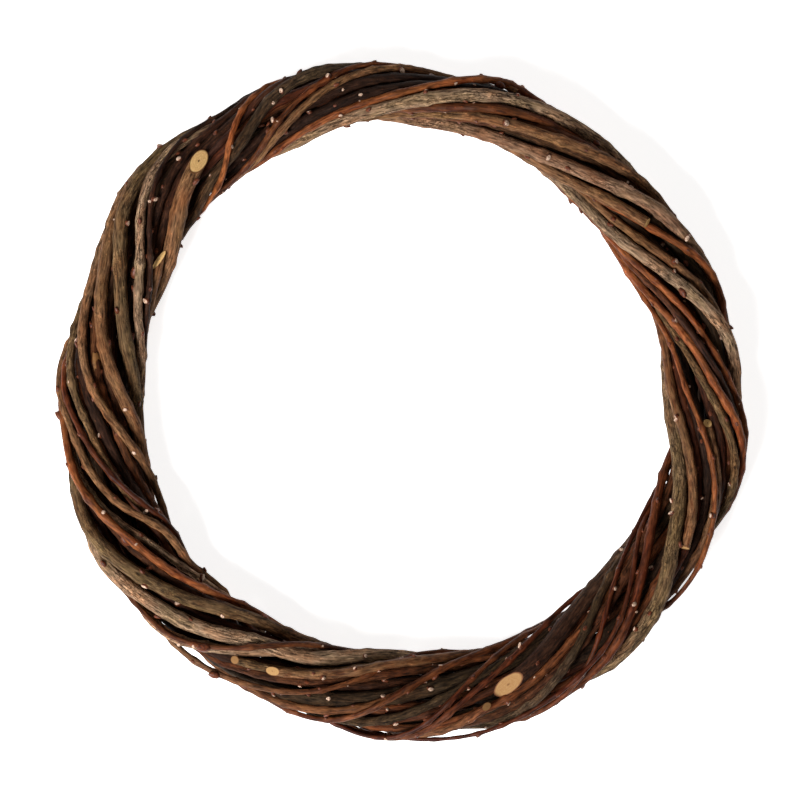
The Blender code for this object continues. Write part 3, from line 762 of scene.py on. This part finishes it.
def with_material(tree, geometry, material, where=True):
    """A geometry with a material, all over it or only where a field says."""
    inputs = {"Geometry": geometry, "Selection": where, "Material": material}
    return node(tree, "GeometryNodeSetMaterial", inputs).outputs[0]


def joined(tree, parts):
    """Several geometries as one."""
    made = node(tree, "GeometryNodeJoinGeometry")
    for part in parts:
        tree.links.new(part, made.inputs[0])
    return made.outputs[0]


def swept(tree, given):
    """A circle swept along the route, what is kept of the route, and the turn round the rod."""
    curve = node(tree, "GeometryNodeMeshToCurve", {"Mesh": given["Route"]}).outputs[0]
    middle = node(tree, "GeometryNodeInputPosition").outputs[0]
    way = node(tree, "GeometryNodeInputTangent").outputs[0]
    line = kept(tree, curve, "VECTOR", {"middle": middle, "way": way})
    circle = node(tree, "GeometryNodeCurvePrimitiveCircle", {"Resolution": given["Sides"], "Radius": 1.0})
    index = node(tree, "GeometryNodeSplineParameter").outputs["Index"]
    turn = product(tree, math_node(tree, "DIVIDE", index, given["Sides"]), 2 * math.pi)
    profile = kept(tree, circle.outputs[0], "FLOAT", {"turn": turn})
    sweep = {"Curve": line["Geometry"], "Profile Curve": profile["Geometry"], "Fill Caps": True}
    sweep["Scale"] = product(tree, stored(tree, "half_width"), stored(tree, "spread"))
    return node(tree, "GeometryNodeCurveToMesh", sweep).outputs[0], line, profile["turn"]


def with_places(tree, tube, turn):
    """Stores every point's place on the bark and its place on a cut face."""
    unit = {0: math_node(tree, "COSINE", turn), 1: math_node(tree, "SINE", turn)}
    unit = node(tree, "ShaderNodeCombineXYZ", unit).outputs[0]
    along = node(tree, "ShaderNodeCombineXYZ", {2: stored(tree, "along")}).outputs[0]
    bark_place = vector_node(tree, "ADD", times(tree, unit, stored(tree, "half_width")), along)
    cut_place = times(tree, unit, stored(tree, "spread"))
    for label, value in (("bark_place", bark_place), ("cut_place", cut_place)):
        keeping = {"Geometry": tube, "Name": label, "Value": value}
        tube = node(tree, "GeometryNodeStoreNamedAttribute", keeping, data_type="FLOAT_VECTOR").outputs[0]
    return tube


def relief(tree, given, spoke):
    """How far a point of the skin moves: ridges, swellings and knots lift it, and the rod bends."""
    place, along = stored(tree, "bark_place", "FLOAT_VECTOR"), stored(tree, "along")
    ridge = plus(tree, noise(tree, place, RIDGE_RATE, 2.0)["Fac"], -0.5)
    ridge = product(tree, product(tree, ridge, given["Ridge Height"]), stored(tree, "age"))
    swell = plus(tree, noise(tree, place, SWELL_RATE, 1.0)["Fac"], -0.5)
    swell = product(tree, swell, given["Swelling"])
    cells = {"W": product(tree, along, KNOTS_PER_METRE), "Scale": 1.0, "Randomness": KNOT_SCATTER}
    from_knot = node(tree, "ShaderNodeTexVoronoi", cells, voronoi_dimensions="1D").outputs["Distance"]
    knot = ramp(tree, from_knot, KNOT_EDGE, (0.0, given["Knot Height"]), "SMOOTHSTEP")
    grown = plus(tree, plus(tree, ridge, swell), knot)
    bends = {"W": product(tree, along, BENDS_PER_METRE), "Scale": 1.0, "Detail": 0.0}
    drift = node(tree, "ShaderNodeTexNoise", bends, noise_dimensions="1D").outputs["Color"]
    drift = times(tree, vector_node(tree, "SUBTRACT", drift, (0.5, 0.5, 0.5)), given["Crookedness"])
    return vector_node(tree, "ADD", times(tree, spoke, grown), drift)


def barked(tree, given, tube, line):
    """The tube with its relief, its slanting ends, its bark and its bare wood."""
    position = node(tree, "GeometryNodeInputPosition").outputs[0]
    spoke = vector_node(tree, "SUBTRACT", position, line["middle"])
    tube = moved(tree, tube, relief(tree, given, spoke))
    slope = {0: spoke, 1: stored(tree, "slant", "FLOAT_VECTOR")}
    slope = node(tree, "ShaderNodeVectorMath", slope, operation="DOT_PRODUCT").outputs["Value"]
    tube = moved(tree, tube, times(tree, line["way"], slope))
    tube = node(tree, "GeometryNodeSetShadeSmooth", {"Geometry": tube}, domain="FACE").outputs[0]
    at_rim = math_node(tree, "GREATER_THAN", stored(tree, "rim"), 0.9)
    sharp = {"Geometry": tube, "Selection": at_rim, "Shade Smooth": False}
    tube = node(tree, "GeometryNodeSetShadeSmooth", sharp, domain="EDGE").outputs[0]
    on_cut = math_node(tree, "GREATER_THAN", stored(tree, "wood"), 0.25)
    return with_material(tree, with_material(tree, tube, given["Bark"]), WOOD, on_cut)


def standing(tree, given, shape, kind, material):
    """One kind of growth on its marked points, made real."""
    wanted = math_node(tree, "COMPARE", stored(tree, "kind"), GROWTH_KINDS[kind])
    points = node(tree, "GeometryNodeMeshToPoints", {"Mesh": given["Route"], "Selection": wanted}).outputs[0]
    source = node(tree, "GeometryNodeObjectInfo", {"Object": shape}).outputs["Geometry"]
    axes = {0: stored(tree, "out", "FLOAT_VECTOR"), 1: stored(tree, "lean", "FLOAT_VECTOR")}
    pose = node(tree, "FunctionNodeAxesToRotation", axes, primary_axis="Z", secondary_axis="X")
    placing = {"Points": points, "Instance": source, "Rotation": pose.outputs[0]}
    placing["Scale"] = stored(tree, "size", "FLOAT_VECTOR")
    made = node(tree, "GeometryNodeInstanceOnPoints", placing).outputs[0]
    made = node(tree, "GeometryNodeRealizeInstances", {0: made}).outputs[0]
    return with_material(tree, made, material)


def above_floor(tree, geometry):
    """A geometry with every point that dips below the floor put on it."""
    position = node(tree, "GeometryNodeInputPosition").outputs[0]
    parted = node(tree, "ShaderNodeSeparateXYZ", {0: position}).outputs
    place = {0: parted[0], 1: parted[1], 2: math_node(tree, "MAXIMUM", parted[2], 0.0)}
    place = node(tree, "ShaderNodeCombineXYZ", place).outputs[0]
    return node(tree, "GeometryNodeSetPosition", {"Geometry": geometry, "Position": place}).outputs[0]


def rod_tree():
    """The tree that turns a marked route into a rod with buds and stubs."""
    sockets = [("Route", "INPUT", "NodeSocketGeometry"), ("Rod", "OUTPUT", "NodeSocketGeometry")]
    sockets += [("Sides", "INPUT", "NodeSocketInt"), ("Bark", "INPUT", "NodeSocketMaterial")]
    sockets += [(label, "INPUT", "NodeSocketFloat") for label in SKIN]
    tree, begin, end = new_tree("barked rod", "GeometryNodeTree", sockets)
    given = begin.outputs
    tube, line, turn = swept(tree, given)
    tube = barked(tree, given, with_places(tree, tube, turn), line)
    buds = standing(tree, given, bud_shape, "bud", BUD_SCALE)
    stubs = standing(tree, given, stub_shape, "stub", BUD_SCALE)
    stubs = with_material(tree, stubs, STUB_TOP, stored(tree, "stub_wood"))
    scars = standing(tree, given, stub_shape, "scar", SCAR)
    growth = {"Geometry": joined(tree, (stubs, buds, scars))}
    growth = node(tree, "GeometryNodeSetShadeSmooth", growth, domain="FACE").outputs[0]
    join(tree, end, {"Rod": above_floor(tree, joined(tree, (growth, tube)))})
    return tree


ROD_TREE = rod_tree()
print("nodes in the rod tree:", len(ROD_TREE.nodes))

# %% [markdown]
# ## Marking each route
#
# The route of a rod is handed to the tree as a chain of points that carry its thickness, tone, age and the
# slope of its cut ends. Near an end the slope fades in over a little more than the length of the cut, so
# the rings stay in order. Every rod's grain starts two metres further on, so no two look alike. The rods
# that fill the depth of the rope, from the nineteenth on, are drawn a little fuller than their solids, so
# that less light shows between them.
#
# Growths are loose points beside the chain: those of the solid, and between them small buds and stubs that
# follow the leaf spiral of a willow. The solid's growths are pointed buds at the clock angles below, and
# most of the others are stubs. A torn shoot has a clock angle, a turn from the top of the rod towards the
# middle of the ring, half its length, half its width, and its height. Old cuts are brown, by the shares
# given for a rod's start and its end.

# %% Routes as marked point chains
CAP_SPREAD = (0.97, 0.8, 0.6, 0.4, 0.22, 0.06)
CAP_STEP = 0.04 * MM
FADE = 2.2
FADE_ROOM = 0.1 * MM
GRAIN_APART = 2.0
FIRST_DEEP_ROD = 19
DEEP_FULLNESS = 1.08
OLD_CUTS = {
    "rod_02": (0.0, 0.82),
    "rod_04": (0.0, 0.4),
    "rod_08": (0.0, 0.7),
    "rod_09": (0.0, 0.9),
    "rod_10": (0.0, 0.7),
    "rod_14": (0.9, 0.0),
}
BUD_SIZE = np.array([1.7, 1.25, 1.5]) * MM
STUB_SIZE = 1.4 * MM
SUNK = 0.1 * MM
NODE_SWELL = 0.16
NODE_REACH = 2.4 * MM
SMALL_BUD_GAP = 20.0 * MM
GAP_RANGE = (0.6, 1.4)
GAP_AT_END = 0.3
SMALL_BUD_SIZES = (0.5, 0.9)
SMALL_BUD_SHARE = 0.7
SMALL_STUB = np.array([1.1, 0.9, 0.8])
USUAL_RADIUS = 2 * MM
LOWEST_BUD = 2.5 * MM
LEAF_TURN = 137.5
POINTED_BUDS = (16, 45, 69, 214, 218, 242, 295)
POINTED_REACH = 2.0
LOWEST_ON_FACE = -0.2
HIDDEN_POINTED_SHARE = 0.4
LARGE_BUD = 1.4
SOLID_BUD_LENGTH = 4.2 * MM
SOLID_BUD_SIZES = (0.85, 1.2)
TILT = 0.35
TORN_SHOOTS = {
    "rod_08": (19.6, 75.0, (4.5 * MM, 2.2 * MM, 1.6 * MM)),
    "rod_24": (276.0, 42.0, (6.0 * MM, 2.4 * MM, 0.9 * MM)),
}
TORN_SUNK = 0.4 * MM
GROWTH_SEED = 5


def end_slopes(rod):
    """The slope of the cut at every route point, strongest at the ends."""
    slopes = np.zeros_like(rod["path"])
    for end, from_end in ((0, rod["along"]), (-1, rod["along"][-1] - rod["along"])):
        face, way = rod["faces"][end], rod["way"][end]
        slope = square_to(way, -face / (way @ face))
        reach = FADE * rod["radius"][end] * np.linalg.norm(slope) + FADE_ROOM
        slopes += np.clip(1 - from_end / reach, 0, 1)[:, None] * slope
    return slopes


def swollen(rod, grown):
    """The rod's thickness along its route, a little more beside every bud and stub.

    A foot is on the skin, about one reach from the middle, where the bell curve has sunk to 1/e.
    """
    swell = np.zeros(len(rod["path"]))
    for growth in grown:
        away = np.linalg.norm(rod["path"] - growth[0], axis=1) / NODE_REACH
        swell = np.maximum(swell, np.exp(-(away**2)))
    return rod["radius"] * (1 + NODE_SWELL * swell / math.exp(-1))


def chain(name, rod, number, grown):
    """What each route point carries, with the shrinking rings that close the two cut faces."""
    count, rings = len(rod["path"]), len(CAP_SPREAD)
    source = np.concatenate([np.zeros(rings, int), np.arange(count), np.full(rings, count - 1)])
    beyond = np.concatenate([-np.arange(rings, 0, -1), np.zeros(count, int), np.arange(1, rings + 1)])
    tone, age = tone_at(name, rod["clock"])
    fullness = DEEP_FULLNESS if number >= FIRST_DEEP_ROD else 1.0
    old_start, old_end = OLD_CUTS.get(name, (0.0, 0.0))
    return {
        "place": rod["path"][source] + rod["way"][source] * CAP_STEP * beyond[:, None],
        "half_width": (swollen(rod, grown) * fullness)[source],
        "tone": tone[source],
        "age": age[source],
        "along": rod["along"][source] + GRAIN_APART * number,
        "slant": end_slopes(rod)[source],
        "wood": beyond != 0,
        "rim": (beyond == 0) & ((source == 0) | (source == count - 1)),
        "spread": np.concatenate([CAP_SPREAD[::-1], np.ones(count), CAP_SPREAD]),
        "old_cut": np.where(2 * source > count, old_end, old_start),
    }


def on_skin(rod, near, out, sunk=SUNK):
    """Where a growth has its foot, a little way into the bark."""
    return rod["path"][near] + out * (rod["radius"][near] - sunk)


def small_buds(rod, chance):
    """Small buds and stubs every few centimetres, turned by the leaf spiral."""
    found = []
    turn = chance.uniform(0, 360)
    at = chance.uniform(GAP_AT_END, 1.0) * SMALL_BUD_GAP
    while at < rod["along"][-1] - GAP_AT_END * SMALL_BUD_GAP:
        near = int(np.searchsorted(rod["along"], at))
        way = rod["way"][near]
        side = unit(np.cross(way, (0, 0, 1)))
        out = side * math.cos(math.radians(turn)) + np.cross(side, way) * math.sin(math.radians(turn))
        foot = on_skin(rod, near, out)
        size = chance.uniform(*SMALL_BUD_SIZES) * (0.7 + 0.3 * rod["radius"][near] / USUAL_RADIUS)
        if foot[2] > LOWEST_BUD:
            if chance.random() < SMALL_BUD_SHARE:
                found.append((foot, out, way, BUD_SIZE * size, "bud"))
            else:
                lean = chance.uniform(-1, 1, 3)
                found.append((foot, out, lean, SMALL_STUB * STUB_SIZE * size, "stub"))
        turn += LEAF_TURN
        at += chance.uniform(*GAP_RANGE) * SMALL_BUD_GAP
    return found


def torn_shoot(rod, clock, turn, size):
    """The scar of a torn side shoot, turned from the top of the rod towards the ring's middle."""
    near = int(np.argmin(np.abs(rod["clock"] - clock)))
    turn = math.radians(turn)
    way = rod["way"][near]
    inward = unit((RING_MIDDLE - rod["path"][near]) * (1, 1, 0))
    out = unit(square_to(way, inward * math.sin(turn) + np.array([0, 0, math.cos(turn)])))
    return on_skin(rod, near, out, TORN_SUNK), out, way, np.array(size), "scar"


def solid_growth(rod, site, chance):
    """The bud or stub that stands for one raised corner of the solid."""
    near, out, lean = site["near"], site["out"], rod["way"][site["near"]]
    clock = rod["clock"][near] % 360
    on_face = out[2] > LOWEST_ON_FACE
    large = on_face and any(abs(clock - place) < POINTED_REACH for place in POINTED_BUDS)
    pointed = large or (not on_face and chance.random() < HIDDEN_POINTED_SHARE)
    size = site["length"] / SOLID_BUD_LENGTH * chance.uniform(*SOLID_BUD_SIZES)
    size *= LARGE_BUD if large else 1.0
    foot = on_skin(rod, near, out)
    if pointed:
        return foot, out, lean, BUD_SIZE * size, "bud"
    scale = np.array([chance.uniform(0.8, 1.5), chance.uniform(0.7, 1.1), 1.1]) * STUB_SIZE * size
    out = unit(out + TILT * chance.uniform(-1, 1, 3))
    return foot, out, chance.uniform(-1, 1, 3), scale, "stub"


def growths(name, rod, chance):
    """Foot, way out, lean, size and kind of everything that grows on a rod."""
    found = small_buds(rod, chance)
    if name in TORN_SHOOTS:
        found.append(torn_shoot(rod, *TORN_SHOOTS[name]))
    return found + [solid_growth(rod, site, chance) for site in rod["sites"]]


def route_object(name, rod, number, chance):
    """The marked route of a rod as an object for the tree."""
    grown = growths(name, rod, chance)
    line = chain(name, rod, number, grown)
    count = len(line["half_width"])
    places = list(line["place"]) + [row[0] for row in grown]
    links = [(k, k + 1) for k in range(count - 1)]
    mesh = bpy.data.meshes.new(name + " route")
    mesh.from_pydata(places, links, [])

    def mark(label, kind, values, key, width):
        """Writes values on the first points, and nothing on the rest."""
        data = np.zeros((len(places), width))
        data[: len(values)] = np.asarray(values, dtype=float).reshape(len(values), width)
        mesh.attributes.new(label, kind, "POINT").data.foreach_set(key, data.reshape(-1))

    for label in ("half_width", "age", "along", "wood", "rim", "spread", "old_cut"):
        mark(label, "FLOAT", line[label], "value", 1)
    mark("tone", "FLOAT_COLOR", np.column_stack([line["tone"], np.ones(count)]), "color", 4)
    mark("slant", "FLOAT_VECTOR", line["slant"], "vector", 3)
    blank = [(0, 0, 0)] * count
    for column, label in enumerate(("out", "lean", "size"), start=1):
        mark(label, "FLOAT_VECTOR", blank + [row[column] for row in grown], "vector", 3)
    mark("kind", "FLOAT", [0.0] * count + [GROWTH_KINDS[row[4]] for row in grown], "value", 1)
    return linked(name + " route", mesh)


print("routes can be marked")

# %% [markdown]
# ## Growing the rods
#
# Each route goes through the tree with its own number of sides and its own bark. The result is taken as a
# plain mesh, which stands for that rod's solid from here on.

# %% Grow every rod
GREY_RODS = (1, 3, 5, 9, 11, 14, 19, 21, 24, 26, 30)
ORANGE_RODS = (8, 10, 12, 13, 15, 16, 17, 29)
ROUTE_MARKS = ("spread", "kind", "rim", "along", "wood", "lean", "slant", "out", "size", "stub_wood")
SIDE_WIDTH = 1.1 * MM
FEWEST_SIDES = 12
MOST_SIDES = 22


def set_inputs(modifier, values):
    """Sets a modifier's inputs by the identifiers of their sockets."""
    for item in modifier.node_group.interface.items_tree:
        if item.item_type == "SOCKET" and item.in_out == "INPUT" and item.name in values:
            modifier[item.identifier] = values[item.name]


def slot_of(number):
    """The bark of a rod by its number."""
    if number in GREY_RODS:
        return "grey_bark"
    return "orange_bark" if number in ORANGE_RODS else "brown_bark"


def grow(name, number, chance):
    """Turns one rod's route into its finished piece."""
    rod = rods[name]
    route = route_object(name, rod, number, chance)
    modifier = route.modifiers.new("barked rod", "NODES")
    modifier.node_group = ROD_TREE
    sides = round(2 * math.pi * rod["radius"].max() / SIDE_WIDTH)
    sides = int(np.clip(sides, FEWEST_SIDES, MOST_SIDES))
    set_inputs(modifier, {"Sides": sides, "Bark": bark_materials[slot_of(number)], **SKIN})
    graph = bpy.context.evaluated_depsgraph_get()
    grown = route.evaluated_get(graph)
    mesh = bpy.data.meshes.new_from_object(grown, preserve_all_data_layers=True, depsgraph=graph)
    for spare in [item.name for item in mesh.attributes if item.name in ROUTE_MARKS]:
        mesh.attributes.remove(mesh.attributes[spare])
    piece = linked(name + "_bark", mesh)
    bpy.data.objects.remove(route)
    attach(piece, "root")
    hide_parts(name)
    return piece


chance = np.random.default_rng(GROWTH_SEED)
pieces = [grow(name, number, chance) for number, name in enumerate(ROD_NAMES, start=1)]
for shape in (bud_shape, stub_shape):
    bpy.data.objects.remove(shape)
triangle_count = sum(len(face.vertices) - 2 for piece in pieces for face in piece.data.polygons)
print("rods grown:", len(pieces), "triangles:", triangle_count)

# %% [markdown]
# ## Floor and light
#
# The wreath lies on plain white, in even studio light that comes mostly from one side, so that each round
# rod has a lit flank and a dark one.

# %% Floor, lamps and sky
FLOOR_HALF = 3.0
FLOOR_LOOK = {
    "Base Color": linear_colour((250, 250, 250)),
    "Roughness": 0.9,
    "Emission Color": (1, 1, 1, 1),
    "Emission Strength": 0.78,
}
LAMPS = {
    "main lamp": ((-0.92, -0.82, 1.30), 63.0, 0.75),
    "fill lamp": ((0.3, 1.0, 1.5), 4.0, 0.9),
}
SKY_LOOK = {"Color": (1.0, 0.88, 0.78, 1.0), "Strength": 0.08}

floor_corners = [(FLOOR_HALF * x, FLOOR_HALF * y, 0) for x, y in ((-1, -1), (1, -1), (1, 1), (-1, 1))]
floor_mesh = bpy.data.meshes.new("floor")
floor_mesh.from_pydata(floor_corners, [], [(0, 1, 2, 3)])
floor = linked("floor", floor_mesh)
floor_material, floor_shader = new_material("white floor")
join(floor_material.node_tree, floor_shader, FLOOR_LOOK)
floor.data.materials.append(floor_material)


def lamp(name, place, power, size):
    """A soft square lamp that looks at the ring."""
    data = bpy.data.lights.new(name, "AREA")
    data.energy = power
    data.size = size
    made = linked(name, data)
    made.location = place
    turn_y = math.atan2(math.hypot(place[0], place[1]), place[2])
    made.rotation_euler = (0, turn_y, math.atan2(place[1], place[0]))


for name, settings in LAMPS.items():
    lamp(name, *settings)
world = bpy.data.worlds.new("sky")
world.use_nodes = True
join(world.node_tree, world.node_tree.nodes["Background"], SKY_LOOK)
bpy.context.scene.world = world
bpy.context.scene.view_settings.view_transform = "Standard"
print("lamps set")
